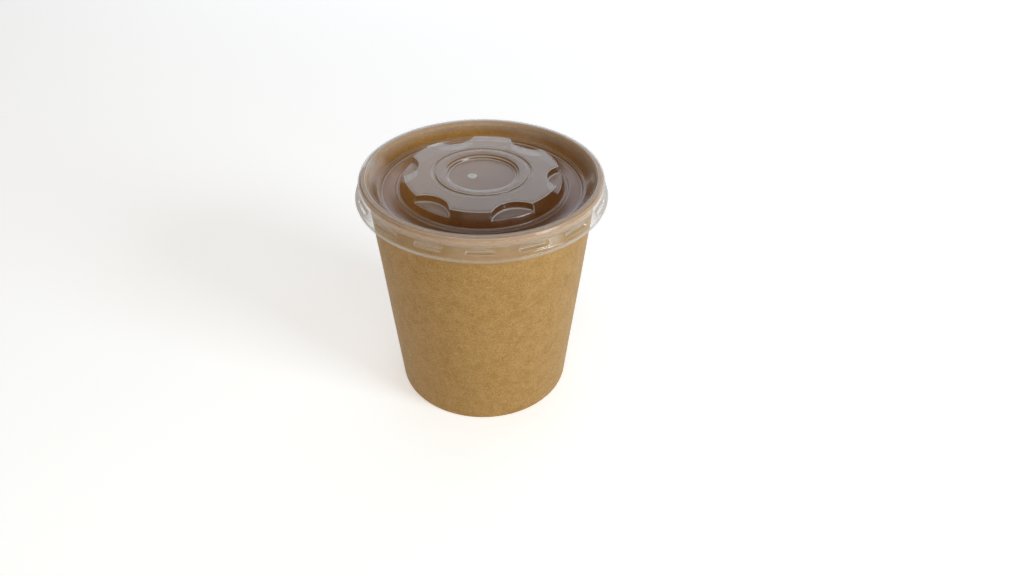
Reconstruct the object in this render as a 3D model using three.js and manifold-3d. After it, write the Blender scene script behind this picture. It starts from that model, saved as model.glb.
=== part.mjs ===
// Takeaway soup container: a tapered paper cup with a rolled rim and a hemmed foot, the recessed
// paper disc that closes its bottom, and a thin press-on lid with a raised, notched centre.
// Millimetres, +Z up. The origin is the centre of the ring that the cup stands on.
import * as THREE from 'three';
import { mergeVertices } from 'three/addons/utils/BufferGeometryUtils.js';
import Module from 'manifold-3d';

const wasm = await Module();
wasm.setup();

// Driving dimensions
const FACETS = 48;                 // flat sides of every turned surface
const CLEARANCE = 0.3;             // air between two pieces that touch on the real object

// Cup wall
const PAPER = 0.5;
const FOOT_RADIUS = 38.55;         // outside of the wall at the table
const WALL_SLOPE = 0.0806;         // gain of radius for each millimetre of height
const ROLL_RADIUS = 1.25;          // outside of the rolled rim's section
const ROLL_CENTRE_RADIUS = 47.6;
const ROLL_CENTRE_HEIGHT = 101.1;
const ROLL_END_ANGLE = -110;       // the roll's free edge, in degrees from its outermost line
const FOOT_ROUNDING = 0.35;
const HEM_HEIGHT = 7.5;            // the wall's lower edge, folded inwards and up

// Base disc
const DISC_PAPER = 0.4;
const DISC_HEIGHT = 8.4;           // its upper face
const DISC_SKIRT_END = 0.9;
const DISC_CORNER = 0.9;

// Lid: heights of its flat zones and radii of its rings, on the upper face
const LID_THICKNESS = 0.45;
const DIMPLE_HEIGHT = 101.2;
const DIMPLE_RADIUS = 14.0;
const BOSS_HEIGHT = 103.0;
const COLLAR_INNER_RADIUS = 15.0;
const COLLAR_OUTER_RADIUS = 18.6;
const GROOVE_DEPTH = 0.6;
const GROOVE_WIDTH = 1.3;
const BOSS_RADIUS = 31.4;
const BOSS_EDGE = 0.4;
const BOSS_FOOT_RADIUS = 33.8;
const WELL_HEIGHT = 96.4;
const RIDGE_HEIGHT = 0.4;
const RIDGE_WIDTH = 1.6;
const WELL_RADIUS = 40.6;
const STEP_HEIGHT = 1.1;
const STEP_WIDTH = 1.5;
const PLUG_TOP_RADIUS = 45.4;
const PLUG_TOP_HEIGHT = 101.2;
const BEAD_TOP = 103.2;
const BEAD_INNER_RADIUS = 46.0;
const BEAD_OUTER_RADIUS = 49.6;
const BEAD_INNER_ROUNDING = 0.8;
const BEAD_OUTER_ROUNDING = 1.7;
const CREASE_HEIGHT = 99.45;       // where the bead ends and the skirt begins
const SKIRT_RADIUS = 51.4;
const SKIRT_WIDEST_HEIGHT = 95.2;
const SKIRT_END_RADIUS = 50.7;
const SKIRT_END_HEIGHT = 93.4;

// Six scalloped notches in the boss, and sixteen lugs pressed into the skirt
const NOTCH_COUNT = 6;
const NOTCH_RADIUS = 10.0;
const NOTCH_CENTRE_RADIUS = 36.2;
const NOTCH_REACH = 34.5;
const NOTCH_FIRST_ANGLE = 51.4;
const NOTCH_LEDGE_HEIGHT = 100.0;
const NOTCH_ARC_STEPS = 10;
const LUG_COUNT = 16;
const LUG_WIDTH = 11.4;
const LUG_BOTTOM = 96.9;
const LUG_TOP = 99.1;
const LUG_FACE_RADIUS = 49.5;
const LUG_FIRST_ANGLE = -90.9;

const rad = THREE.MathUtils.degToRad;

// Outside radius of the cup's wall at a height
function wallRadius(height) {
  return FOOT_RADIUS + WALL_SLOPE * height;
}

// Points on an arc in the radius-height plane, from one angle to another, in degrees
function arc(centreRadius, centreHeight, radius, from, to, steps) {
  const points = [];
  for (let i = 0; i <= steps; i += 1) {
    const angle = rad(from + (to - from) * i / steps);
    points.push([centreRadius + radius * Math.cos(angle), centreHeight + radius * Math.sin(angle)]);
  }
  return points;
}

// The same line moved sideways by a distance, to its right as it is walked
function offsetLine(points, distance) {
  return points.map(([radius, height], i) => {
    const before = points[Math.max(i - 1, 0)];
    const after = points[Math.min(i + 1, points.length - 1)];
    const here = [radius, height];
    const [first, second] = [[before, here], [here, after]].map(([a, b]) => {
      const length = Math.hypot(b[0] - a[0], b[1] - a[1]) || 1;
      return [(b[1] - a[1]) / length, -(b[0] - a[0]) / length];
    });
    const normal = [first[0] + second[0], first[1] + second[1]];
    const isEnd = i === 0 || i === points.length - 1;
    const scale = isEnd ? distance : 2 * distance / (normal[0] ** 2 + normal[1] ** 2);
    return [Math.max(radius + normal[0] * scale, 0), height + normal[1] * scale];
  });
}

// Welds shared vertices, drops triangles that have shrunk to a line, and faces them outwards
function weld(geometry) {
  geometry.deleteAttribute('normal');
  geometry.deleteAttribute('uv');
  const welded = mergeVertices(geometry, 1e-4);
  const place = welded.attributes.position;
  const kept = [];
  let volume = 0;
  const corner = [new THREE.Vector3(), new THREE.Vector3(), new THREE.Vector3()];
  for (let i = 0; i < welded.index.count; i += 3) {
    const ids = [0, 1, 2].map((k) => welded.index.getX(i + k));
    if (new Set(ids).size < 3) continue;
    kept.push(...ids);
    ids.forEach((id, k) => corner[k].fromBufferAttribute(place, id));
    volume += corner[0].dot(corner[1].cross(corner[2]));
  }
  if (volume < 0) kept.reverse();
  welded.setIndex(kept);
  return welded;
}

// Turns an outline of [radius, height] pairs about the Z axis; a ring's outline closes on itself
function turned(outline) {
  const points = outline.map(([radius, height]) => new THREE.Vector2(radius, height));
  const first = points[0];
  const last = points[points.length - 1];
  if (first.x > 0 || last.x > 0) points.push(first.clone());
  return weld(new THREE.LatheGeometry(points, FACETS).rotateX(Math.PI / 2));
}

function toSolid(geometry) {
  const vertProperties = Float32Array.from(geometry.attributes.position.array);
  const triVerts = Uint32Array.from(geometry.index.array);
  return new wasm.Manifold(new wasm.Mesh({ numProp: 3, vertProperties, triVerts }));
}

function toGeometry(solid) {
  const mesh = solid.getMesh();
  const geometry = new THREE.BufferGeometry();
  geometry.setAttribute('position', new THREE.BufferAttribute(mesh.vertProperties, 3));
  geometry.setIndex(new THREE.BufferAttribute(mesh.triVerts, 1));
  return geometry;
}

// Sidewall: round the open roll, down the outside, round the hem, and back up the inside
function cupWall() {
  const rollBase = ROLL_CENTRE_HEIGHT - ROLL_RADIUS;
  const roll = (radius, from, to, steps) => (
    arc(ROLL_CENTRE_RADIUS, ROLL_CENTRE_HEIGHT, radius, from, to, steps));
  const top = [
    [wallRadius(rollBase) - PAPER, rollBase],
    ...roll(ROLL_RADIUS, 180, ROLL_END_ANGLE, 10),
    ...roll(ROLL_RADIUS - PAPER, ROLL_END_ANGLE, 180, 7),
    [wallRadius(rollBase), rollBase],
  ];
  const slotWidth = CLEARANCE + DISC_PAPER + CLEARANCE;
  const hemInner = PAPER + slotWidth + PAPER;
  const foot = [
    [wallRadius(FOOT_ROUNDING), FOOT_ROUNDING],
    [FOOT_RADIUS - FOOT_ROUNDING, 0],
    [FOOT_RADIUS - hemInner + FOOT_ROUNDING, 0],
    [wallRadius(FOOT_ROUNDING) - hemInner, FOOT_ROUNDING],
  ];
  const hemTop = [
    [wallRadius(HEM_HEIGHT) - hemInner, HEM_HEIGHT],
    [wallRadius(HEM_HEIGHT) - hemInner + PAPER, HEM_HEIGHT],
  ];
  const slot = [
    [wallRadius(PAPER) - PAPER - slotWidth, PAPER],
    [wallRadius(PAPER) - PAPER, PAPER],
  ];
  return turned([...top, ...foot, ...hemTop, ...slot]);
}

// Base disc: an upside-down tray whose skirt hangs in the slot between the wall and the hem
function cupBase() {
  const skirtOuter = (height) => wallRadius(height) - PAPER - CLEARANCE;
  const under = DISC_HEIGHT - DISC_PAPER;
  const cornerRadius = skirtOuter(DISC_HEIGHT) - DISC_CORNER;
  return turned([
    [0, under],
    [cornerRadius, under],
    [skirtOuter(under) - DISC_PAPER, under - DISC_CORNER + DISC_PAPER],
    [skirtOuter(DISC_SKIRT_END) - DISC_PAPER, DISC_SKIRT_END],
    [skirtOuter(DISC_SKIRT_END), DISC_SKIRT_END],
    [skirtOuter(DISC_HEIGHT - DISC_CORNER), DISC_HEIGHT - DISC_CORNER],
    ...arc(cornerRadius, DISC_HEIGHT - DISC_CORNER, DISC_CORNER, 45, 90, 1),
    [0, DISC_HEIGHT],
  ]);
}

// The lid's upper face, from the middle of the dimple out to the skirt's lower edge
function lidUpperLine() {
  const stepTop = WELL_HEIGHT + STEP_HEIGHT;
  return [
    [0, DIMPLE_HEIGHT],
    [DIMPLE_RADIUS, DIMPLE_HEIGHT],
    [COLLAR_INNER_RADIUS, BOSS_HEIGHT],
    [COLLAR_OUTER_RADIUS, BOSS_HEIGHT],
    [COLLAR_OUTER_RADIUS + GROOVE_WIDTH / 2, BOSS_HEIGHT - GROOVE_DEPTH],
    [COLLAR_OUTER_RADIUS + GROOVE_WIDTH, BOSS_HEIGHT],
    [BOSS_RADIUS - BOSS_EDGE, BOSS_HEIGHT],
    [BOSS_RADIUS, BOSS_HEIGHT - BOSS_EDGE],
    [BOSS_FOOT_RADIUS, WELL_HEIGHT],
    [BOSS_FOOT_RADIUS + RIDGE_HEIGHT, WELL_HEIGHT + RIDGE_HEIGHT],
    [BOSS_FOOT_RADIUS + RIDGE_WIDTH - RIDGE_HEIGHT, WELL_HEIGHT + RIDGE_HEIGHT],
    [BOSS_FOOT_RADIUS + RIDGE_WIDTH, WELL_HEIGHT],
    [WELL_RADIUS, WELL_HEIGHT],
    [WELL_RADIUS + STEP_WIDTH / 3, stepTop],
    [WELL_RADIUS + STEP_WIDTH, stepTop + STEP_HEIGHT / 4],
    [PLUG_TOP_RADIUS, PLUG_TOP_HEIGHT],
    ...arc(BEAD_INNER_RADIUS + BEAD_INNER_ROUNDING, BEAD_TOP - BEAD_INNER_ROUNDING,
      BEAD_INNER_ROUNDING, 180, 90, 2),
    ...arc(BEAD_OUTER_RADIUS - BEAD_OUTER_ROUNDING, BEAD_TOP - BEAD_OUTER_ROUNDING,
      BEAD_OUTER_ROUNDING, 90, 0, 3),
    [BEAD_OUTER_RADIUS, CREASE_HEIGHT],
    [SKIRT_RADIUS, SKIRT_WIDEST_HEIGHT],
    [SKIRT_END_RADIUS, SKIRT_END_HEIGHT],
  ];
}

// One cutter for a notch: a round-backed block with its open side towards the skirt
function notchCutter(radius, ledgeHeight) {
  const mouthAngle = Math.acos((NOTCH_REACH - NOTCH_CENTRE_RADIUS) / radius);
  const shape = new THREE.Shape();
  shape.absarc(NOTCH_CENTRE_RADIUS, 0, radius, mouthAngle, 2 * Math.PI - mouthAngle, false);
  shape.closePath();
  const depth = BEAD_TOP + 1 - ledgeHeight;
  const options = { depth, bevelEnabled: false, curveSegments: NOTCH_ARC_STEPS };
  return weld(new THREE.ExtrudeGeometry(shape, options).translate(0, 0, ledgeHeight));
}

// One cutter for a lug: a flat block that presses the skirt in to a plane, grown by an amount
function lugCutter(grown) {
  const thickness = SKIRT_RADIUS - LUG_FACE_RADIUS + grown;
  const tall = LUG_TOP - LUG_BOTTOM + grown;
  const block = new THREE.BoxGeometry(thickness, LUG_WIDTH + 2 * grown, tall);
  return weld(block.translate(SKIRT_RADIUS - thickness / 2, 0, LUG_TOP - tall / 2));
}

// Takes a ring of equal cutters, set about the Z axis, out of a solid
function cutRing(solid, cutter, count, firstAngle) {
  let result = solid;
  for (let i = 0; i < count; i += 1) {
    const placed = cutter.clone().rotateZ(rad(firstAngle + i * 360 / count));
    result = result.subtract(toSolid(placed));
  }
  return result;
}

// Lid: the body under its upper face, less the same body drawn in by the wall's thickness
function lidShell() {
  const upper = lidUpperLine();
  const lower = offsetLine(upper, LID_THICKNESS);
  const openingDepth = SKIRT_END_HEIGHT - 1;   // past the skirt's lower edge, so it stays open
  const openingRadius = lower[lower.length - 1][0];
  let body = toSolid(turned([...upper, [0, SKIRT_END_HEIGHT]]));
  let hollow = toSolid(turned([...lower, [openingRadius, openingDepth], [0, openingDepth]]));
  body = cutRing(body, notchCutter(NOTCH_RADIUS, NOTCH_LEDGE_HEIGHT), NOTCH_COUNT, NOTCH_FIRST_ANGLE);
  hollow = cutRing(hollow, notchCutter(NOTCH_RADIUS + LID_THICKNESS, NOTCH_LEDGE_HEIGHT - LID_THICKNESS),
    NOTCH_COUNT, NOTCH_FIRST_ANGLE);
  body = cutRing(body, lugCutter(0), LUG_COUNT, LUG_FIRST_ANGLE);
  hollow = cutRing(hollow, lugCutter(LID_THICKNESS), LUG_COUNT, LUG_FIRST_ANGLE);
  return toGeometry(body.subtract(hollow));
}

const kraftPaper = new THREE.MeshStandardMaterial({ color: 0xb08c58, roughness: 0.75, metalness: 0 });
const discPaper = new THREE.MeshStandardMaterial({ color: 0xa98552, roughness: 0.75, metalness: 0 });
const clearPlastic = new THREE.MeshStandardMaterial({
  color: 0xd8d8d6, roughness: 0.3, metalness: 0, transparent: true, opacity: 0.35,
});

const container = new THREE.Group();
const pieces = [
  ['cup_wall', cupWall(), kraftPaper],
  ['cup_base', cupBase(), discPaper],
  ['lid', lidShell(), clearPlastic],
];
for (const [name, geometry, material] of pieces) {
  const piece = new THREE.Mesh(geometry, material);
  piece.name = name;
  container.add(piece);
}

export default container;
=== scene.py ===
from math import asin, atan2, ceil, cos, degrees, pi, radians, sin, sqrt, tan

import bmesh
import bpy
from bpy.props import FloatProperty, FloatVectorProperty, IntProperty, PointerProperty
from mathutils import Matrix, Vector, noise


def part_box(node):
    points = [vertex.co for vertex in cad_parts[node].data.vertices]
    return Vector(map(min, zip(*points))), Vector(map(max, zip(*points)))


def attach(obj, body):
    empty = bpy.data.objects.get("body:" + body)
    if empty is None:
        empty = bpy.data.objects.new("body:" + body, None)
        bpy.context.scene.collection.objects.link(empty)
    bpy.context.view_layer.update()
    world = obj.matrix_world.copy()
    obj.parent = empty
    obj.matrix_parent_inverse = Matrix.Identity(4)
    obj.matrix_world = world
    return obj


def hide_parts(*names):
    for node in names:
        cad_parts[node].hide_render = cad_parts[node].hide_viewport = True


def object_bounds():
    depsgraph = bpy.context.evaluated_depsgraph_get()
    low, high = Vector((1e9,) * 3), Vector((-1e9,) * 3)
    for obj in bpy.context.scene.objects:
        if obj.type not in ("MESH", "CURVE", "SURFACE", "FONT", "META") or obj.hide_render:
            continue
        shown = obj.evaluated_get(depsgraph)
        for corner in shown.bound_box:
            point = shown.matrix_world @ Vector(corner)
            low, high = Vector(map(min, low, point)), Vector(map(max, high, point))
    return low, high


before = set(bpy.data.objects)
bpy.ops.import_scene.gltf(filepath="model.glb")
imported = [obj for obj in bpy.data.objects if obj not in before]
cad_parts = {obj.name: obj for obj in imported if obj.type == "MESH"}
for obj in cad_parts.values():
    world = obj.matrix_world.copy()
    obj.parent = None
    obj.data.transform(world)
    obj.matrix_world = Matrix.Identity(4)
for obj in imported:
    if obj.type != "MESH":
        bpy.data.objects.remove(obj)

bl_info = {
    "name": "Takeaway Soup Cup",
    "version": (1, 0, 0),
    "blender": (4, 5, 0),
    "location": "View3D > Sidebar > Soup Cup",
    "description": "Models a kraft paperboard soup cup with its clear press-on lid",
    "category": "Add Mesh",
}

# Lengths named here are millimetres and angles degrees; meshes are made in metres.
MM = 0.001
CAD_LOW, CAD_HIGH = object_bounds()
BASE_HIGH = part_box("cup_base")[1] / MM
LID_LOW, LID_HIGH = (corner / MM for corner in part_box("lid"))

# Cup: the wall's faces, the roll on its rim and the hem at its foot
ROLL_RADIUS = 1.72
ROLL_HEIGHT = LID_HIGH.z - 0.42 - ROLL_RADIUS      # height of the roll's centre, just under the bead
ROLL_DISTANCE = LID_HIGH.x - 2.22 - ROLL_RADIUS    # distance of the roll's centre from the axis
ROLL_TURN = 290.0                                  # how far it is rolled, from inside the wall over the top
ROLL_STEPS = 26
ROLL_DROP = 2.5                                    # from the roll's centre down to the straight wall
FOOT_RADIUS = 38.55                                # outside of the wall at the table
WALL_SLOPE = 0.0806                                # radius gained for each millimetre of height
MAP_RADIUS = 1.1 * FOOT_RADIUS                     # radius at which the wall's map is true to size
WALL_MIDDLE = 50.0                                 # height at which the lap's width is true
WALL_TURNS = 246                                   # steps round the wall
DISC_TURNS = 192                                   # steps round the base disc
WALL_LONGEST = 3.0                                 # longest step along the line of wall or disc
HEM_HEIGHT = 7.5
FOLD_ROUNDING = 0.4                                # rounding of the folds at the foot
FOLD_HEIGHT = 2.0                                  # below this the wall stays clear of the table
DISC_BOARD = 0.4                                   # thickness of the base disc
DISC_GAP = 0.3                                     # room for glue between wall and disc
DISC_LOW = 0.9                                     # height of the disc's lower edge
SEAM_EASE = 16.0                                   # turn over which the lap rises onto the board below
SEAM_GLUE = 0.03                                   # glue between the board's two ends
SWELLS = ((28, 0.10), (75, 0.03))                  # unevenness of the wall: swells in a metre, and depth
SWELL_LOW, SWELL_HIGH = 9.0, 92.0                  # the wall is uneven only between these heights
SWELL_FADE = 12.0                                  # height over which that begins and ends

# Lid: distances from the axis, and heights below its highest line
TOP = LID_HIGH.z
SKIRT_RADIUS = LID_HIGH.x
BOSS_TOP = TOP - 0.2                               # flat top of the raised centre, or boss
DIMPLE_FLOOR = TOP - 2.0
WELL_FLOOR = TOP - 6.8
FOOT_LEVEL = WELL_FLOOR + 0.35                     # the well falls gently outwards from the boss
CREASE = TOP - 3.75                                # where the skirt begins, under the bead
CREASE_RADIUS = SKIRT_RADIUS - 1.8
SKIRT_WIDEST = TOP - 8.0
DIMPLE_EDGE = 12.0                                 # up to here the dimple's floor is flat
GROOVE_OUTER = 20.5
BOSS_EDGE = 31.4
BOSS_FOOT = 33.8
BEAD_INNER = 45.0
FINE = 4                                           # steps in an arc on the boss's side
SHOULDER_POINTS = FINE + 1
SIDE_STEPS = 22                                    # steps down the boss's side, as many as notch_side makes
SIDE_END = Vector((BOSS_FOOT, FOOT_LEVEL)).lerp(Vector((BOSS_EDGE, BOSS_TOP)), 0.06)
LID_TURNS = 288                                    # steps round the lid

GATE = Vector((-4.0, -0.6))                        # where the plastic entered the mould
GATE_REACH = 3.0                                   # what is this near the gate moves with it as a whole
NOTCH_LEDGE = TOP - 3.2
NOTCH_CENTRE = 36.2                                # distance of a notch's centre from the axis
NOTCH_FIRST = 51.4                                 # angle of one notch's middle
NOTCH_ENDS = 15.75, 14.7                           # from its middle, where a notch starts and is full
NOTCH_EASE = 1.0                                   # rounding between a notch's back and the boss's edge
NOTCH_CROWDING = 0.72                              # how closely the mesh's lines crowd at its ends
LUG_FIRST = -90.9                                  # angle of one lug's middle
LUG_TOP = TOP - 4.1
LUG_LEDGE = TOP - 5.45
LUG_BOTTOM = TOP - 6.25
LUG_FACE = SKIRT_RADIUS - 1.9                      # distance of a lug's flat face from the axis
LUG_CROWDING = 0.8


def linear(hex_colour):
    """A hex sRGB colour as linear red, green and blue."""
    parts = [int(hex_colour[i:i + 2], 16) / 255 for i in (1, 3, 5)]
    return tuple(p / 12.92 if p <= 0.04045 else ((p + 0.055) / 1.055) ** 2.4 for p in parts)


class CupSettings(bpy.types.PropertyGroup):
    """Sizes and colours of the paper cup."""

    board: FloatProperty(name="Board", description="Thickness of the paperboard",
                         default=0.45 * MM, unit="LENGTH")
    lap: FloatProperty(name="Side lap", description="Width of the glued side seam",
                       default=7.0 * MM, unit="LENGTH")
    seam_angle: FloatProperty(name="Seam angle", description="Where the side seam runs, seen from above",
                              default=radians(174.0), subtype="ANGLE")
    cloud: FloatProperty(name="Cloud size", description="Size of the pale and dark clouds in the pulp",
                         default=5.0 * MM, unit="LENGTH")
    grain: FloatProperty(name="Grain", description="Size of the fine grain in the pressed pulp",
                         default=0.7 * MM, unit="LENGTH")
    fibre: FloatProperty(name="Fibre length", description="Length of the fibres that show",
                         default=2.4 * MM, unit="LENGTH")
    pale: FloatVectorProperty(name="Pale pulp", description="Lightest clouds in the kraft board",
                              default=linear("#A5804D"), subtype="COLOR")
    dark: FloatVectorProperty(name="Dark pulp", description="Darkest, reddest clouds in the kraft board",
                              default=linear("#98723C"), subtype="COLOR")
    yellow: FloatVectorProperty(name="Yellow pulp", description="Yellowest clouds in the kraft board",
                                default=linear("#A38047"), subtype="COLOR")
    fleck: FloatVectorProperty(name="Bark fleck", description="Colour of the dark fibres",
                               default=linear("#7E5828"), subtype="COLOR")
    pale_fibre: FloatVectorProperty(name="Pale fibre", description="Colour of the pale fibres",
                                    default=linear("#C3A06C"), subtype="COLOR")


class LidSettings(bpy.types.PropertyGroup):
    """Sizes and finish of the moulded lid."""

    wall: FloatProperty(name="Wall", description="Thickness of the moulded plastic",
                        default=0.36 * MM, unit="LENGTH")
    notches: IntProperty(name="Notches", description="Scalloped notches round the raised centre",
                         default=6)
    notch_radius: FloatProperty(name="Notch radius", description="Radius of each notch's back",
                                default=10.0 * MM, unit="LENGTH")
    lugs: IntProperty(name="Lugs", description="Lugs pressed into the skirt", default=16)
    lug_width: FloatProperty(name="Lug width", description="Length of each lug round the skirt",
                             default=11.4 * MM, unit="LENGTH")
    haze: FloatProperty(name="Haze", description="Share of light that each face scatters",
                        default=0.005, subtype="FACTOR", min=0, max=1)
    # Painted highlight: more milk where the sheet bends, for the bright lines that bends reflect
    painted_bend_highlight: FloatProperty(name="Painted bend highlight", description="Further haze where the sheet bends",
                             default=0.52, subtype="FACTOR", min=0, max=1)
    # This also scales the painted highlight round the gate
    frost_and_painted_highlight: FloatProperty(name="Frost", description="Further haze on the fine matt top and the bead",
                         default=0.2, subtype="FACTOR", min=0, max=1)
    edge_on: FloatProperty(name="Edge-on haze", description="Further haze of the skirt seen edge on",
                           default=0.62, subtype="FACTOR", min=0, max=1)
    milk: FloatVectorProperty(name="Milk", description="Colour of the haze in the plastic",
                              default=linear("#E3E1DD"), subtype="COLOR")


class StageSettings(bpy.types.PropertyGroup):
    """Floor, light and camera."""

    floor_size: FloatProperty(name="Floor", description="Width of the pale floor",
                              default=6.0, unit="LENGTH")
    floor_colour: FloatVectorProperty(name="Floor colour", description="Colour of the pale floor",
                                      default=linear("#FAFAF9"), subtype="COLOR")
    floor_glow: FloatProperty(name="Floor glow", description="Light that the lit-up floor gives",
                              default=0.37)
    sky: FloatProperty(name="Room light", description="Brightness of the pale room", default=0.22)
    key: FloatProperty(name="Key light", description="Power of the softbox in front to the right",
                       default=5.4, unit="POWER")
    side: FloatProperty(name="Side light", description="Power of the panel on the right",
                        default=0.2, unit="POWER")
    front: FloatProperty(name="Front light", description="Power of the panel in front",
                         default=2.75, unit="POWER")
    back: FloatProperty(name="Back light", description="Power of the panel behind",
                        default=4.2, unit="POWER")
    top: FloatProperty(name="Top light", description="Power of the panel overhead",
                       default=0.8, unit="POWER")
    camera_back: FloatProperty(name="Camera distance", description="How far the camera is from the axis",
                               default=267.9 * MM, unit="LENGTH")
    camera_height: FloatProperty(name="Camera height", description="Height of the camera above the floor",
                                 default=249.7 * MM, unit="LENGTH")
    camera_down: FloatProperty(name="Camera tilt", description="How far the camera looks down",
                               default=radians(37.59), subtype="ANGLE")
    camera_turn: FloatProperty(name="Camera turn", description="How far the camera is turned to the left",
                               default=radians(-2.738), subtype="ANGLE")
    camera_roll: FloatProperty(name="Camera roll", description="How far the camera leans",
                               default=radians(0.901), subtype="ANGLE")
    lens: FloatProperty(name="Lens", description="Focal length, for a sensor 36 mm wide",
                        default=26.30, unit="CAMERA")


# --- Shared shaping and shading helpers -------------------------------------------------------

def ramp(value, low, high):
    """0 at low, 1 at high, and a straight rise between; low may be above high."""
    return min(max((value - low) / (high - low), 0), 1)


def smooth(value, low, high):
    """0 at low, 1 at high, and a smooth rise between; low may be above high."""
    t = ramp(value, low, high)
    return t * t * (3 - 2 * t)


def arc(centre, radius, start, turn, steps):
    """Points on an arc in the (radius, height) plane, angles in degrees."""
    angles = [radians(start + turn * i / steps) for i in range(steps + 1)]
    return [Vector((centre[0] + radius * cos(a), centre[1] + radius * sin(a))) for a in angles]


def rounded(corners, steps=2):
    """Points along (radius, height, rounding) corners, with an arc at each rounded corner."""
    points = []
    for i, (radius, height, rounding) in enumerate(corners):
        here = Vector((radius, height))
        if not rounding:
            points.append(here)
            continue
        back = (Vector(corners[i - 1][:2]) - here).normalized()
        ahead = (Vector(corners[i + 1][:2]) - here).normalized()
        half = back.angle(ahead) / 2
        centre = here + (back + ahead).normalized() * rounding / sin(half)
        first, last = (here + side * rounding / tan(half) - centre for side in (back, ahead))
        start = degrees(atan2(first.y, first.x))
        turn = (degrees(atan2(last.y, last.x)) - start + 180) % 360 - 180
        points += arc(centre, rounding, start, turn, steps)
    return points


def filled(points, longest):
    """The same line with its long stretches divided, so that no step is longer than a length."""
    result = [points[0]]
    for a, b in zip(points, points[1:]):
        parts = max(1, ceil((b - a).length / longest))
        result += [a.lerp(b, k / parts) for k in range(1, parts + 1)]
    return result


def spun(points, steps, angle=2 * pi, start=0.0):
    """A bmesh of an open line turned about the axis; each vertex keeps its place along the line."""
    bm = bmesh.new()
    station = bm.verts.layers.int.new("station")
    line = [bm.verts.new((p.x * MM, 0, p.y * MM)) for p in points]
    for i, vert in enumerate(line):
        vert[station] = i
    for a, b in zip(line, line[1:]):
        bm.edges.new((a, b))
    bmesh.ops.rotate(bm, verts=line, cent=(0, 0, 0), matrix=Matrix.Rotation(start, 3, "Z"))
    full = angle == 2 * pi
    bmesh.ops.spin(bm, geom=bm.verts[:] + bm.edges[:], cent=(0, 0, 0), axis=(0, 0, 1),
                   angle=angle, steps=steps, use_merge=full)
    bmesh.ops.remove_doubles(bm, verts=[v for v in bm.verts if v.co.xy.length < 1e-6], dist=1e-6)
    return bm


def face_towards(bm, wanted):
    """Makes the normals agree, and turns them all over if they point against wanted(centre)."""
    bmesh.ops.recalc_face_normals(bm, faces=bm.faces)
    agreement = sum(f.normal.dot(wanted(f.calc_center_median())) * f.calc_area() for f in bm.faces)
    if agreement < 0:
        bmesh.ops.reverse_faces(bm, faces=bm.faces)


def inwards(point):
    """From a point towards the axis."""
    return Vector((-point.x, -point.y, 0)).normalized()


def upwards(_point):
    """Straight up."""
    return Vector((0, 0, 1))


def finish_piece(bm, name, materials, node):
    """Makes an object of a bmesh, gives it its materials, and ties it to the frame."""
    mesh = bpy.data.meshes.new(name)
    bm.to_mesh(mesh)
    bm.free()
    mesh.polygons.foreach_set("use_smooth", [True] * len(mesh.polygons))
    piece = bpy.data.objects.new(name, mesh)
    bpy.context.scene.collection.objects.link(piece)
    for material in materials:
        mesh.materials.append(material)
    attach(piece, "root")
    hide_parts(node)
    return piece


def thicken(piece, thickness, material_offset=0):
    """Gives a sheet its thickness on the side away from its normals, and eases its cut edges."""
    solid = piece.modifiers.new("Thickness", "SOLIDIFY")
    solid.thickness = thickness
    solid.offset = -1
    solid.use_even_offset = True
    solid.use_quality_normals = True
    solid.material_offset = material_offset
    solid.material_offset_rim = material_offset
    eased = piece.modifiers.new("Eased cut edge", "BEVEL")
    eased.limit_method = "ANGLE"
    eased.angle_limit = radians(60)
    eased.width = thickness / 6
    eased.segments = 2


def add_node(tree, kind, settings=None, **inputs):
    """Adds one node, sets its properties, and fills or links its inputs, named or numbered as in_0."""
    node = tree.nodes.new(kind)
    for key, value in (settings or {}).items():
        setattr(node, key, value)
    for key, value in inputs.items():
        name = int(key[3:]) if key.startswith("in_") else key.replace("_", " ")
        socket = node.inputs[name]
        if isinstance(value, bpy.types.NodeSocket):
            tree.links.new(value, socket)
        else:
            socket.default_value = value
    return node


def new_material(name):
    """An empty node material and its output."""
    material = bpy.data.materials.new(name)
    material.use_nodes = True
    material.node_tree.nodes.clear()
    return material, material.node_tree, material.node_tree.nodes.new("ShaderNodeOutputMaterial")


# --- Materials --------------------------------------------------------------------------------

def mottle(tree, place, size, low, high, detail=3.0, top=1.0):
    """Clouds of a size, as a share that rises from nothing at low to top at high."""
    clouds = add_node(tree, "ShaderNodeTexNoise", Vector=place.outputs["Object"],
                      Scale=1 / size, Detail=detail, Roughness=0.6)
    share = add_node(tree, "ShaderNodeMapRange", Value=clouds.outputs["Fac"],
                     From_Min=low, From_Max=high, To_Max=top)
    return share.outputs[0]


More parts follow.
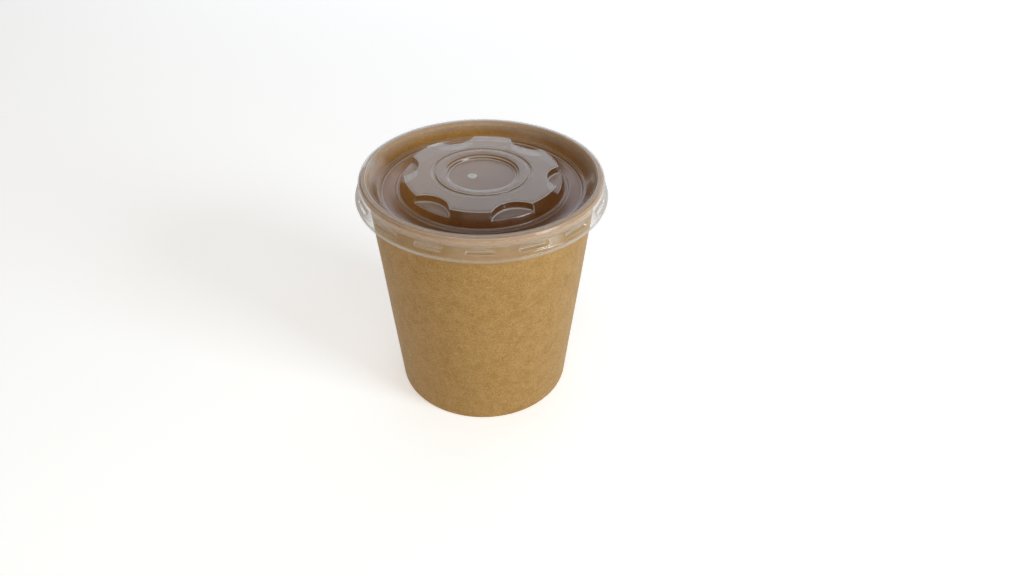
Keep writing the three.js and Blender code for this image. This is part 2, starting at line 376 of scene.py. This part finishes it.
def kraft_board(cup, name, painted_tints, roughness, sheen_level):
    """Unbleached kraft paperboard, pressed and thinly coated with polyethylene.

    The eye sees brown pulp in soft clouds, now redder and now yellower, a fine grain, short pale and
    dark fibres lying every way, and a dull waxy sheen. Inside the cup two tints are painted in by height:
    painted light under the rim, brighter and warmer, and low down painted shade for the light that
    passes from wall to wall, deeper and redder.
    """
    material, tree, output = new_material(name)
    place = add_node(tree, "ShaderNodeTexCoord")
    blend = {"data_type": "RGBA"}
    soft_light = {"data_type": "RGBA", "blend_type": "SOFT_LIGHT"}
    multiply = {"data_type": "RGBA", "blend_type": "MULTIPLY"}

    clouds = mottle(tree, place, cup.cloud, 0.36, 0.64, 5.0)
    pulp = add_node(tree, "ShaderNodeMix", blend, in_0=clouds, in_6=(*cup.dark, 1), in_7=(*cup.pale, 1))
    yellowed = mottle(tree, place, cup.cloud * 0.7, 0.4, 0.75, 2.0, 0.8)
    pulp = add_node(tree, "ShaderNodeMix", blend, in_0=yellowed, in_6=pulp.outputs[2],
                    in_7=(*cup.yellow, 1))
    grain = mottle(tree, place, cup.grain, 0.3, 0.7, 1.0)
    shade = add_node(tree, "ShaderNodeMix", blend, in_0=grain, in_6=(0.16, 0.15, 0.12, 1),
                     in_7=(0.84, 0.85, 0.88, 1))
    pulp = add_node(tree, "ShaderNodeMix", soft_light, in_0=0.28, in_6=pulp.outputs[2],
                    in_7=shade.outputs[2])
    relief = grain
    for turn, amount in ((6, 0.6), (-32, 0.5), (64, 0.4)):
        laid = add_node(tree, "ShaderNodeMapping", {"vector_type": "TEXTURE"}, Vector=place.outputs["UV"],
                        Rotation=(0, 0, radians(turn)), Scale=(cup.fibre, cup.fibre / 5, 1))
        strands = add_node(tree, "ShaderNodeTexNoise", Vector=laid.outputs[0],
                           Scale=1.0, Detail=2.0, Roughness=0.5, Distortion=0.8)
        for low, high, dye in ((0.6, 0.8, cup.fleck), (0.38, 0.22, cup.pale_fibre)):
            share = add_node(tree, "ShaderNodeMapRange", Value=strands.outputs["Fac"],
                             From_Min=low, From_Max=high, To_Max=amount)
            pulp = add_node(tree, "ShaderNodeMix", blend, in_0=share.outputs[0], in_6=pulp.outputs[2],
                            in_7=(*dye, 1))
        raised = add_node(tree, "ShaderNodeMath", {"operation": "MULTIPLY_ADD"},
                          in_0=strands.outputs["Fac"], in_1=0.8, in_2=relief)
        relief = raised.outputs[0]
    # Painted light and shade inside the cup, multiplied in by height: a brighter, warmer tint under the rim
    # and a deeper, redder one low down
    if painted_tints:
        rim_painted_light, deep_painted_shade = painted_tints
        height = add_node(tree, "ShaderNodeSeparateXYZ", Vector=place.outputs["Object"])
        depth = add_node(tree, "ShaderNodeMapRange", Value=height.outputs["Z"],
                         From_Min=(TOP - 5) * MM, From_Max=(TOP - 16) * MM)
        tint = add_node(tree, "ShaderNodeMix", blend, in_0=depth.outputs[0], in_6=(*rim_painted_light, 1),
                        in_7=(*deep_painted_shade, 1))
        pulp = add_node(tree, "ShaderNodeMix", multiply, in_0=1.0, in_6=pulp.outputs[2],
                        in_7=tint.outputs[2])
    bump = add_node(tree, "ShaderNodeBump", Height=relief, Strength=0.3, Distance=0.03 * MM)
    gloss = add_node(tree, "ShaderNodeMapRange", Value=grain,
                     To_Min=roughness + 0.06, To_Max=roughness - 0.06)
    surface = add_node(tree, "ShaderNodeBsdfPrincipled", Base_Color=pulp.outputs[2],
                       Roughness=gloss.outputs[0], Normal=bump.outputs[0], IOR=1.5)
    surface.inputs["Specular IOR Level"].default_value = sheen_level
    tree.links.new(surface.outputs[0], output.inputs["Surface"])
    return material


def moulded_polypropylene(lid):
    """Thin injection-moulded polypropylene, natural grade.

    The eye sees a clear sheet with a faint milky haze, glossy on both faces. It turns whiter on its matt
    top, and the skirt turns to an even pale grey where it is seen edge on. More milk at its bends and
    round the gate is painted highlight, for the bright lines and glint that these reflect.
    """
    material, tree, output = new_material("Moulded polypropylene")
    multiply_add = {"operation": "MULTIPLY_ADD"}
    bend = add_node(tree, "ShaderNodeAttribute", {"attribute_name": "bend"})
    frost_and_painted_highlight = add_node(tree, "ShaderNodeAttribute", {"attribute_name": "frost_and_painted_highlight"})
    side = add_node(tree, "ShaderNodeAttribute", {"attribute_name": "side"})
    slant = add_node(tree, "ShaderNodeLayerWeight", Blend=0.5)

    # The mirror share of each face: 3% seen square on, rising towards a grazing look, more on the skirt
    grazing = add_node(tree, "ShaderNodeMath", {"operation": "POWER"},
                       in_0=slant.outputs["Facing"], in_1=3.6)
    mirror = add_node(tree, "ShaderNodeMath", multiply_add, in_0=grazing.outputs[0], in_1=0.5, in_2=0.03)
    sheen = add_node(tree, "ShaderNodeMath", multiply_add,
                     in_0=side.outputs["Fac"], in_1=0.03, in_2=mirror.outputs[0])

    # The milky share: little on flat sheet, more on matt plastic and edge on; more at bends and round the
    # gate, as painted highlight
    edges = add_node(tree, "ShaderNodeMath", multiply_add,
                     in_0=bend.outputs["Fac"], in_1=lid.painted_bend_highlight, in_2=lid.haze)
    matt = add_node(tree, "ShaderNodeMath", multiply_add,
                    in_0=frost_and_painted_highlight.outputs["Fac"], in_1=lid.frost_and_painted_highlight, in_2=edges.outputs[0])
    edge_on = add_node(tree, "ShaderNodeMapRange", {"interpolation_type": "SMOOTHSTEP"},
                       Value=slant.outputs["Facing"], From_Min=0.38, From_Max=0.64, To_Max=lid.edge_on)
    haze = add_node(tree, "ShaderNodeMath", {"operation": "MULTIPLY_ADD", "use_clamp": True},
                    in_0=side.outputs["Fac"], in_1=edge_on.outputs[0], in_2=matt.outputs[0])

    # The skirt has light behind it, so more of its milk is lit from the far side
    passed = add_node(tree, "ShaderNodeMath", multiply_add, in_0=side.outputs["Fac"], in_1=0.35, in_2=0.4)
    clear = add_node(tree, "ShaderNodeBsdfTransparent", Color=(0.985, 0.985, 0.985, 1))
    lit = add_node(tree, "ShaderNodeBsdfDiffuse", Color=(*lid.milk, 1))
    through = add_node(tree, "ShaderNodeBsdfTranslucent", Color=(*lid.milk, 1))
    milk = add_node(tree, "ShaderNodeMixShader", Fac=passed.outputs[0],
                    in_1=lit.outputs[0], in_2=through.outputs[0])
    body = add_node(tree, "ShaderNodeMixShader", Fac=haze.outputs[0],
                    in_1=clear.outputs[0], in_2=milk.outputs[0])
    gloss = add_node(tree, "ShaderNodeBsdfAnisotropic", {"distribution": "GGX"}, Roughness=0.19)
    surface = add_node(tree, "ShaderNodeMixShader", Fac=sheen.outputs[0],
                       in_1=body.outputs[0], in_2=gloss.outputs[0])
    tree.links.new(surface.outputs[0], output.inputs["Surface"])
    return material


def floor_paint(stage):
    """Smooth matt white board on a lit-up table: pale all over, with no reflections."""
    material, tree, output = new_material("Matt white board")
    surface = add_node(tree, "ShaderNodeBsdfPrincipled", Base_Color=(*stage.floor_colour, 1),
                       Roughness=0.8, Emission_Color=(1, 1, 1, 1), Emission_Strength=stage.floor_glow)
    tree.links.new(surface.outputs[0], output.inputs["Surface"])
    return material


# --- Cup --------------------------------------------------------------------------------------

def wall_inside(height, board):
    """Radius of the wall's inner face at a height."""
    return FOOT_RADIUS + WALL_SLOPE * height - board


def wall_line(board):
    """The wall's lined face: round the roll from its free edge, down the inside, and up the hem."""
    fold = 2 * DISC_GAP + DISC_BOARD
    straight = ROLL_HEIGHT - ROLL_DROP
    roll = arc((ROLL_DISTANCE, ROLL_HEIGHT), ROLL_RADIUS, 180 - ROLL_TURN, ROLL_TURN, ROLL_STEPS)
    down = rounded([
        (wall_inside(straight, board), straight, 0),
        (wall_inside(board, board), board, FOLD_ROUNDING),
        (wall_inside(board, board) - fold, board, FOLD_ROUNDING),
        (wall_inside(HEM_HEIGHT, board) - fold, HEM_HEIGHT, 0),
    ], 4)
    return filled(roll + down, WALL_LONGEST)


def line_normals(points):
    """Unit normals to the right of a line, point by point."""
    normals = []
    for i in range(len(points)):
        run = (points[min(i + 1, len(points) - 1)] - points[max(i - 1, 0)]).normalized()
        normals.append(Vector((run.y, -run.x)))
    return normals


def wrap_blank(bm, points, cup, total):
    """Lays the blank's last edge over its first, and gives the wall its small unevenness and map."""
    station = bm.verts.layers.int["station"]
    normals = line_normals(points)
    lap_turn = total - 2 * pi
    half = len(bm.verts) / 2
    bm.verts.index_update()
    turns = {}
    for vert in bm.verts:
        turn = (atan2(vert.co.y, vert.co.x) - cup.seam_angle) % (2 * pi)
        if turn > 2 * pi - 1e-4:
            turn = 0.0
        if turn < lap_turn + 1e-3 and vert.index >= half:
            turn += 2 * pi
        turns[vert] = turn
    for vert in bm.verts:
        height = vert.co.z / MM
        lift = smooth(turns[vert], 2 * pi - radians(SEAM_EASE), 2 * pi) * (cup.board + SEAM_GLUE * MM)
        swell = sum(noise.noise(vert.co * count) * depth * MM for count, depth in SWELLS)
        swell *= ramp(height, SWELL_LOW, SWELL_LOW + SWELL_FADE)
        swell *= ramp(height, SWELL_HIGH, SWELL_HIGH - SWELL_FADE)
        normal = normals[vert[station]]
        outwards = Vector((vert.co.x, vert.co.y, 0)).normalized()
        shift = -(outwards * normal.x + Vector((0, 0, normal.y)))
        if height < FOLD_HEIGHT:
            shift.z = max(shift.z, 0)
        vert.co += shift * (lift + swell)
    lengths = [0.0]
    for a, b in zip(points, points[1:]):
        lengths.append(lengths[-1] + (b - a).length * MM)
    layer = bm.loops.layers.uv.new("Board")
    for face in bm.faces:
        for loop in face.loops:
            vert = loop.vert
            loop[layer].uv = (turns[vert] * MAP_RADIUS * MM, lengths[vert[station]])


class SOUPCUP_OT_add_wall(bpy.types.Operator):
    """Adds the cup's wall: one lapped blank with a rolled rim and a hem folded in at the foot"""

    bl_idname = "soupcup.add_wall"
    bl_label = "Cup wall"

    def execute(self, context):
        cup = context.scene.soup_cup
        points = wall_line(cup.board / MM)
        total = 2 * pi + cup.lap / (wall_inside(WALL_MIDDLE, 0) * MM)
        bm = spun(points, WALL_TURNS, total, cup.seam_angle)
        wrap_blank(bm, points, cup, total)
        face_towards(bm, inwards)
        # Painted light under the rim and painted shade low down, for the lined face inside the cup
        rim_painted_light, deep_painted_shade = (1.4, 1.2, 0.71), (1.25, 0.92, 0.48)
        lined = kraft_board(cup, "Lined kraft board with painted light and shade", (rim_painted_light, deep_painted_shade), 0.5, 0.2)
        plain = kraft_board(cup, "Kraft board", None, 0.5, 0.15)
        piece = finish_piece(bm, "wall_blank", [lined, plain], "cup_wall")
        thicken(piece, cup.board, 1)
        return {"FINISHED"}


class SOUPCUP_OT_add_base(bpy.types.Operator):
    """Adds the recessed disc that closes the cup's foot"""

    bl_idname = "soupcup.add_base"
    bl_label = "Cup base"

    def execute(self, context):
        board = context.scene.soup_cup.board / MM
        top = BASE_HIGH.z
        points = filled(rounded([
            (0, top, 0),
            (wall_inside(top, board) - DISC_GAP, top, 1.0),
            (wall_inside(DISC_LOW, board) - DISC_GAP, DISC_LOW, 0),
        ], 5), WALL_LONGEST)
        bm = spun(points, DISC_TURNS)
        face_towards(bm, lambda p: upwards(p) if p.z > (top - 0.5) * MM else -inwards(p))
        layer = bm.loops.layers.uv.new("Board")
        for face in bm.faces:
            for loop in face.loops:
                loop[layer].uv = loop.vert.co.xy
        lined = bpy.data.materials["Lined kraft board with painted light and shade"]
        plain = bpy.data.materials["Kraft board"]
        piece = finish_piece(bm, "base_disc", [lined, plain], "cup_base")
        thicken(piece, DISC_BOARD * MM, 1)
        return {"FINISHED"}


# --- Lid --------------------------------------------------------------------------------------

def lid_line():
    """The lid's upper face from its middle to the skirt's lower edge, before notches and lugs.

    Also says at which of its points the side of the raised centre begins.
    """
    middle = rounded([
        (0, DIMPLE_FLOOR + 0.22, 0),
        (0.2, DIMPLE_FLOOR + 0.2, 0),
        (0.4, DIMPLE_FLOOR + 0.1, 0),
        (0.55, DIMPLE_FLOOR - 0.02, 0),
        (0.8, DIMPLE_FLOOR - 0.06, 0),
        *[(r, DIMPLE_FLOOR, 0) for r in (1.1, 1.5, 2.2, 5, 9, DIMPLE_EDGE)],
        (13.7, DIMPLE_FLOOR, 0.35),
        (14.1, DIMPLE_FLOOR + 0.95, 0.15),
        (14.55, DIMPLE_FLOOR + 1.05, 0.15),
        (15.1, BOSS_TOP, 0.4),
        (18.6, BOSS_TOP, 0.25),
        (19.0, BOSS_TOP - 0.6, 0.15),
        (19.75, BOSS_TOP - 0.6, 0.15),
        (GROOVE_OUTER, BOSS_TOP, 0.25),
        (21.8, BOSS_TOP, 0),
    ])
    top = [Vector((r, BOSS_TOP)) for r in (24.0, 26.5, 29.0)]
    shoulder = rounded([
        (29.0, BOSS_TOP, 0), (BOSS_EDGE, BOSS_TOP, 0.32), (BOSS_FOOT, FOOT_LEVEL, 0)], FINE)[1:-1]
    side = [shoulder[-1].lerp(SIDE_END, k / SIDE_STEPS) for k in range(1, SIDE_STEPS + 1)]
    outer = rounded([
        (BOSS_FOOT, FOOT_LEVEL, 0),
        (BOSS_FOOT + 0.35, FOOT_LEVEL + 0.25, 0.4),
        (BOSS_FOOT + 1.25, FOOT_LEVEL + 0.15, 0.4),
        (BOSS_FOOT + 1.7, FOOT_LEVEL - 0.13, 0.35),
        (38.0, WELL_FLOOR, 0),
        (40.6, WELL_FLOOR, 0.25),
        (41.1, WELL_FLOOR + 1.1, 0.3),
        (42.1, WELL_FLOOR + 1.37, 0.4),
        (43.6, WELL_FLOOR + 2.93, 0),
        (45.4, TOP - 2.0, 0.8),
        (46.7, TOP, 0.22),
        (47.4, TOP - 0.1, 0.5),
        (48.2, TOP, 0.5),
        (SKIRT_RADIUS - 2.3, TOP - 0.4, 0.16),
        (CREASE_RADIUS, TOP - 1.5, 0.5),
        (CREASE_RADIUS, CREASE + 0.5, 0),
    ])
    side_start = len(middle) + len(top) + len(shoulder)
    return middle + top + shoulder + side + outer + skirt_line(), side_start


def close_rows(height, count):
    """Heights of close rows of points that carry a bend in the skirt, from just above it down."""
    return [height + 0.12 - 0.08 * k for k in range(count)]


def skirt_line():
    """The skirt from the crease under the bead to its lower edge, fine where the lugs begin and end."""
    crease = Vector((CREASE_RADIUS, CREASE))
    widest = Vector((SKIRT_RADIUS, SKIRT_WIDEST))
    heights = close_rows(LUG_TOP, 5) + [LUG_TOP - 0.55, LUG_LEDGE + 0.4]
    heights += close_rows(LUG_LEDGE, 4) + [LUG_LEDGE - 0.4]
    heights += close_rows(LUG_BOTTOM, 4) + [LUG_BOTTOM - 0.6]
    bend = rounded([(crease.x, CREASE + 0.5, 0), (*crease, 0.2), (*widest, 0)])[1:-1]
    flare = [crease.lerp(widest, ramp(height, CREASE, SKIRT_WIDEST)) for height in heights]
    lip = rounded([
        (*flare[-1], 0),
        (SKIRT_RADIUS - 0.15, SKIRT_WIDEST + 0.3, 0.2),
        (SKIRT_RADIUS, SKIRT_WIDEST - 0.2, 0.3),
        (SKIRT_RADIUS - 0.25, SKIRT_WIDEST - 0.8, 0.2),
        (SKIRT_RADIUS - 0.3, SKIRT_WIDEST - 1.2, 0.3),
        (SKIRT_RADIUS - 0.7, LID_LOW.z, 0),
    ])[1:]
    return bend + flare + lip


def from_centre(angle, first, count):
    """Degrees from the nearest of a ring of features, from minus to plus half their spacing."""
    spacing = 360 / count
    return (angle - first + spacing / 2) % spacing - spacing / 2


def crowded(angle, first, count, ends, closeness):
    """Moves an angle so that the mesh's lines crowd at the ends of each of a ring of features."""
    spacing = 360 / count
    off = from_centre(angle, first, count)
    centre = angle - off
    span, start = (2 * ends, -ends) if abs(off) <= ends else (spacing - 2 * ends, ends)
    side = off if abs(off) <= ends or off > 0 else off + spacing
    phase = (side - start) / span
    bent = phase - closeness * sin(2 * pi * phase) / (2 * pi)
    return centre + start + span * bent - (spacing if side != off else 0)


def notch_outline(off, radius):
    """Distance from the axis to a notch's back, at an angle from the notch's middle, in degrees."""
    limit = degrees(asin(radius / NOTCH_CENTRE)) - 0.35
    inside = min(abs(off), limit)
    a = radians(inside)
    reach = NOTCH_CENTRE * cos(a) - sqrt(radius ** 2 - (NOTCH_CENTRE * sin(a)) ** 2)
    reach += (abs(off) - inside) * 2.5  # past its end it runs out fast, so that the boss's edge takes over
    mix = ramp(reach, BOSS_EDGE - NOTCH_EASE, BOSS_EDGE + NOTCH_EASE)
    return reach * (1 - mix) + BOSS_EDGE * mix - NOTCH_EASE * mix * (1 - mix)


def notch_side(outline):
    """The boss's side inside a notch: down its back, out along the ledge, and down to the foot."""
    ledge_end = BOSS_EDGE + 1.0
    back = outline + 0.3
    corner = min(0.35, max((ledge_end - back) * 0.35, 0.02))
    path = rounded([
        (outline, BOSS_TOP, 0),
        (back, NOTCH_LEDGE, corner),
        (ledge_end, NOTCH_LEDGE, corner),
        (*SIDE_END, 0),
    ], FINE)[1:-1]
    inner_arc, outer_arc = path[:FINE + 1], path[FINE + 1:]
    start = Vector((outline + 0.14, BOSS_TOP - 0.4))
    down = [start.lerp(inner_arc[0], k / 4) for k in range(1, 4)]
    across = [inner_arc[-1].lerp(outer_arc[0], k / 5) for k in range(1, 5)]
    below = [outer_arc[-1].lerp(SIDE_END, k / 5) for k in range(1, 6)]
    return down + inner_arc + across + outer_arc + below


def press_lid(bm, points, side_start, lid):
    """Presses the notches into the boss and the lugs into the skirt of a turned lid.

    The mesh's lines are first turned to crowd at the ends of notches and lugs, each near its own ring.
    """
    station = bm.verts.layers.int["station"]
    radius = lid.notch_radius / MM
    notch_ends = degrees(asin(radius * 0.94 / NOTCH_CENTRE))
    half_lug = lid.lug_width / MM / 2
    lug_ends = degrees(half_lug / SKIRT_RADIUS)
    paths = {}
    for vert in bm.verts:
        index = vert[station]
        r, z = points[index]
        if r < DIMPLE_EDGE:
            drift = GATE * ramp(r, DIMPLE_EDGE, GATE_REACH) * MM
            vert.co += Vector((drift.x, drift.y, 0))
            continue
        angle = degrees(atan2(vert.co.y, vert.co.x))
        turned = angle
        near_notch = smooth(r, 16, 19) * smooth(r, 40, 36)
        if near_notch:
            moved = crowded(angle, NOTCH_FIRST, lid.notches, notch_ends, NOTCH_CROWDING)
            turned = angle + near_notch * (moved - angle)
        near_lug = smooth(r, BEAD_INNER, BEAD_INNER + 3)
        if near_lug:
            moved = crowded(angle, LUG_FIRST, lid.lugs, lug_ends, LUG_CROWDING)
            turned = angle + near_lug * (moved - angle)
        if GROOVE_OUTER < r < BOSS_FOOT + 0.01 and index < side_start + SIDE_STEPS:
            off = from_centre(turned, NOTCH_FIRST, lid.notches)
            outline = notch_outline(off, radius)
            if index < side_start - SHOULDER_POINTS:
                share = (outline - GROOVE_OUTER) / (BOSS_EDGE - GROOVE_OUTER)
                r = GROOVE_OUTER + (r - GROOVE_OUTER) * share
            elif index < side_start:
                r += outline - BOSS_EDGE
            else:
                key = round(off, 4)
                if key not in paths:
                    paths[key] = notch_side(outline)
                deep = smooth(abs(off), *NOTCH_ENDS)
                r, z = points[index].lerp(paths[key][index - side_start], deep)
        elif r > LUG_FACE and z < CREASE:
            off = radians(from_centre(turned, LUG_FIRST, lid.lugs))
            pressed = smooth(abs(off) * r, half_lug, half_lug - 0.45)
            pressed *= ramp(z, LUG_BOTTOM, LUG_LEDGE) * smooth(z, LUG_TOP, LUG_TOP - 0.5)
            r -= max(r - LUG_FACE / cos(off), 0) * pressed
        a = radians(turned)
        vert.co = Vector((r * cos(a), r * sin(a), z)) * MM


def mark_bends(bm):
    """Notes what the plastic's material reads.

    "bend" says how tightly each face bends, from 0 where flat to 1 at a sharp edge, and the material
    paints a highlight with it. "frost_and_painted_highlight" is high on the matt top of the boss and
    the bead, and on the ring round the gate as painted highlight; "side" is 1 on the skirt.
    """
    bend = bm.faces.layers.float.new("bend")
    frost_and_painted_highlight = bm.verts.layers.float.new("frost_and_painted_highlight")
    side = bm.verts.layers.float.new("side")
    bm.normal_update()
    for vert in bm.verts:
        r, z = vert.co.xy.length / MM, vert.co.z / MM
        boss = 0.8 * smooth(z, DIMPLE_FLOOR - 0.4, DIMPLE_FLOOR - 0.1) + 0.45 * smooth(r, 13.4, 14.6)
        boss *= smooth(r, BOSS_EDGE + 0.3, BOSS_EDGE) * smooth(vert.normal.z, 0.6, 0.98)
        # Painted highlight: a white ring round the gate for its glint, with its middle left clear
        from_gate = (vert.co.xy / MM - GATE).length
        painted_gate_highlight = 14 * smooth(from_gate, 1.7, 1.3) * smooth(from_gate, 0.25, 0.4)
        bead = smooth(r, BEAD_INNER, BEAD_INNER + 0.8) * smooth(z, CREASE - 0.1, CREASE + 0.4)
        bead *= 0.85 + 1.1 * smooth(r, 48.4, 47.0)
        skirt = smooth(r, CREASE_RADIUS - 0.6, CREASE_RADIUS - 0.1) * smooth(z, CREASE + 0.4, CREASE - 0.1)
        vert[frost_and_painted_highlight] = max(boss, painted_gate_highlight, bead, 0.1 * skirt)
        vert[side] = max(skirt, 0.06 * bead)
    for face in bm.faces:
        middle = face.calc_center_median()
        r, z = middle.xy.length / MM, middle.z / MM
        tightest = 0.0
        for edge in face.edges:
            for other in edge.link_faces:
                if other != face:
                    apart = (middle - other.calc_center_median()).length / MM
                    tightest = max(tightest, abs(edge.calc_face_angle(0)) / max(apart, 0.02))
        at_foot = smooth(abs(r - BOSS_FOOT), 1.0, 0.6) * smooth(z, TOP - 5, TOP - 5.6)
        at_lip = smooth(z, SKIRT_WIDEST + 0.6, SKIRT_WIDEST + 0.4)
        face[bend] = smooth(tightest, 0.8, 4.6) * (1 - 0.7 * at_foot) * (1 - 0.55 * at_lip)


class SOUPCUP_OT_add_lid(bpy.types.Operator):
    """Adds the moulded lid: raised notched centre, sunken well, bead over the rim, and lugged skirt"""

    bl_idname = "soupcup.add_lid"
    bl_label = "Lid"

    def execute(self, context):
        lid = context.scene.soup_lid
        points, side_start = lid_line()
        bm = spun(points, LID_TURNS)
        press_lid(bm, points, side_start, lid)
        face_towards(bm, lambda p: upwards(p) - inwards(p))
        mark_bends(bm)
        piece = finish_piece(bm, "lid_shell", [moulded_polypropylene(lid)], "lid")
        thicken(piece, lid.wall)
        return {"FINISHED"}


# --- Stage ------------------------------------------------------------------------------------

def add_softbox(name, power, colour, size, azimuth, elevation, distance):
    """A flat soft light that faces the cup from an azimuth and elevation, in degrees."""
    light = bpy.data.lights.new(name, "AREA")
    light.shape = "RECTANGLE"
    light.size, light.size_y = size
    light.energy = power
    light.color = linear(colour)
    lamp = bpy.data.objects.new(name, light)
    bpy.context.scene.collection.objects.link(lamp)
    a, e = radians(azimuth), radians(elevation)
    aim = Vector((cos(a) * cos(e), sin(a) * cos(e), sin(e)))
    lamp.location = (CAD_LOW + CAD_HIGH) / 2 + aim * distance
    lamp.rotation_euler = aim.to_track_quat("Z", "Y").to_euler()
    lamp.visible_camera = False


class SOUPCUP_OT_set_stage(bpy.types.Operator):
    """Sets the pale floor, the soft light and the camera"""

    bl_idname = "soupcup.set_stage"
    bl_label = "Stage"

    def execute(self, context):
        stage = context.scene.soup_stage
        scene = context.scene
        bm = bmesh.new()
        bmesh.ops.create_grid(bm, x_segments=1, y_segments=1, size=stage.floor_size / 2)
        mesh = bpy.data.meshes.new("floor")
        bm.to_mesh(mesh)
        bm.free()
        mesh.materials.append(floor_paint(stage))
        floor = bpy.data.objects.new("floor", mesh)
        scene.collection.objects.link(floor)

        world = bpy.data.worlds.new("Pale room")
        world.use_nodes = True
        sky = world.node_tree.nodes["Background"]
        sky.inputs["Color"].default_value = (1, 0.94, 0.84, 1)
        sky.inputs["Strength"].default_value = stage.sky
        scene.world = world

        for light in (
            ("Key softbox", stage.key, "#E9F7FF", (0.34, 0.45), -34, 23, 0.95),
            ("Side panel", stage.side, "#F4FBFF", (0.7, 0.8), 8, 23, 0.95),
            ("Front panel", stage.front, "#FFFAF2", (1.1, 0.8), -88, 34, 0.95),
            ("Back panel", stage.back, "#E9EFFE", (1.6, 0.62), 80, 20.5, 1.05),
            ("Top panel", stage.top, "#FFF9F0", (0.6, 0.6), 180, 68, 0.95),
        ):
            add_softbox(*light)

        lens = bpy.data.cameras.new("Camera")
        lens.sensor_width = 36.0
        lens.lens = stage.lens
        lens.clip_start, lens.clip_end = 0.01, 20.0
        camera = bpy.data.objects.new("Camera", lens)
        scene.collection.objects.link(camera)
        turn = (Matrix.Rotation(stage.camera_turn, 4, "Z")
                @ Matrix.Rotation(pi / 2 - stage.camera_down, 4, "X")
                @ Matrix.Rotation(stage.camera_roll, 4, "Z"))
        camera.matrix_world = Matrix.Translation((0, -stage.camera_back, stage.camera_height)) @ turn
        scene.camera = camera
        scene.cycles.transparent_max_bounces = 24  # light crosses many faces of the lid
        scene.view_settings.view_transform = "Standard"
        return {"FINISHED"}


class SOUPCUP_PT_panel(bpy.types.Panel):
    """Lists the steps that make the cup."""

    bl_idname = "SOUPCUP_PT_panel"
    bl_label = "Soup Cup"
    bl_space_type = "VIEW_3D"
    bl_region_type = "UI"
    bl_category = "Soup Cup"

    def draw(self, context):
        for operator in OPERATORS:
            self.layout.operator(operator.bl_idname)


OPERATORS = (SOUPCUP_OT_add_wall, SOUPCUP_OT_add_base, SOUPCUP_OT_add_lid, SOUPCUP_OT_set_stage)
SETTINGS = {"soup_cup": CupSettings, "soup_lid": LidSettings, "soup_stage": StageSettings}


def register():
    for cls in (*SETTINGS.values(), *OPERATORS, SOUPCUP_PT_panel):
        bpy.utils.register_class(cls)
    for name, group in SETTINGS.items():
        setattr(bpy.types.Scene, name, PointerProperty(type=group))


def unregister():
    for name in SETTINGS:
        delattr(bpy.types.Scene, name)
    for cls in (SOUPCUP_PT_panel, *reversed(OPERATORS), *reversed(SETTINGS.values())):
        bpy.utils.unregister_class(cls)


def main():
    register()
    bpy.ops.soupcup.add_wall()
    bpy.ops.soupcup.add_base()
    bpy.ops.soupcup.add_lid()
    bpy.ops.soupcup.set_stage()


if __name__ == "__main__":
    main()
